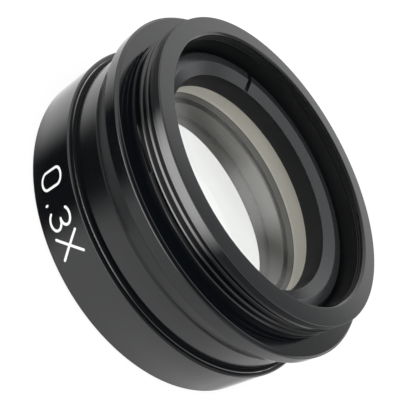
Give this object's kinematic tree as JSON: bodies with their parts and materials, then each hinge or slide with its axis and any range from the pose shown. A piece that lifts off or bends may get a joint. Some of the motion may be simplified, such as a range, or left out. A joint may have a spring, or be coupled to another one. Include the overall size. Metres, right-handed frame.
{
  "type": "microscope auxiliary lens",
  "caption": "Short black anodised barrel with a threaded mount end, a marked front cell and a cemented doublet held by a slotted ring.",
  "frame": {"origin": "centre of the front rim, on the face that the object stands on", "axes": "+Z along the optical axis, from the front rim towards the mount thread; the power mark faces -Y"},
  "size_m": [0.0536, 0.0536, 0.0218],
  "materials": {
    "barrel_finish": "black anodised, satin",
    "cell_finish": "black anodised, satin",
    "ring_finish": "black anodised, satin",
    "crown_glass": "polished, ground edge",
    "flint_glass": "polished, ground edge"
  },
  "bodies": {
    "root": {"mount_barrel": "barrel_finish", "front_cell": "cell_finish", "retaining_ring": "ring_finish", "crown_lens": "crown_glass", "flint_lens": "flint_glass"}
  },
  "joints": []
}
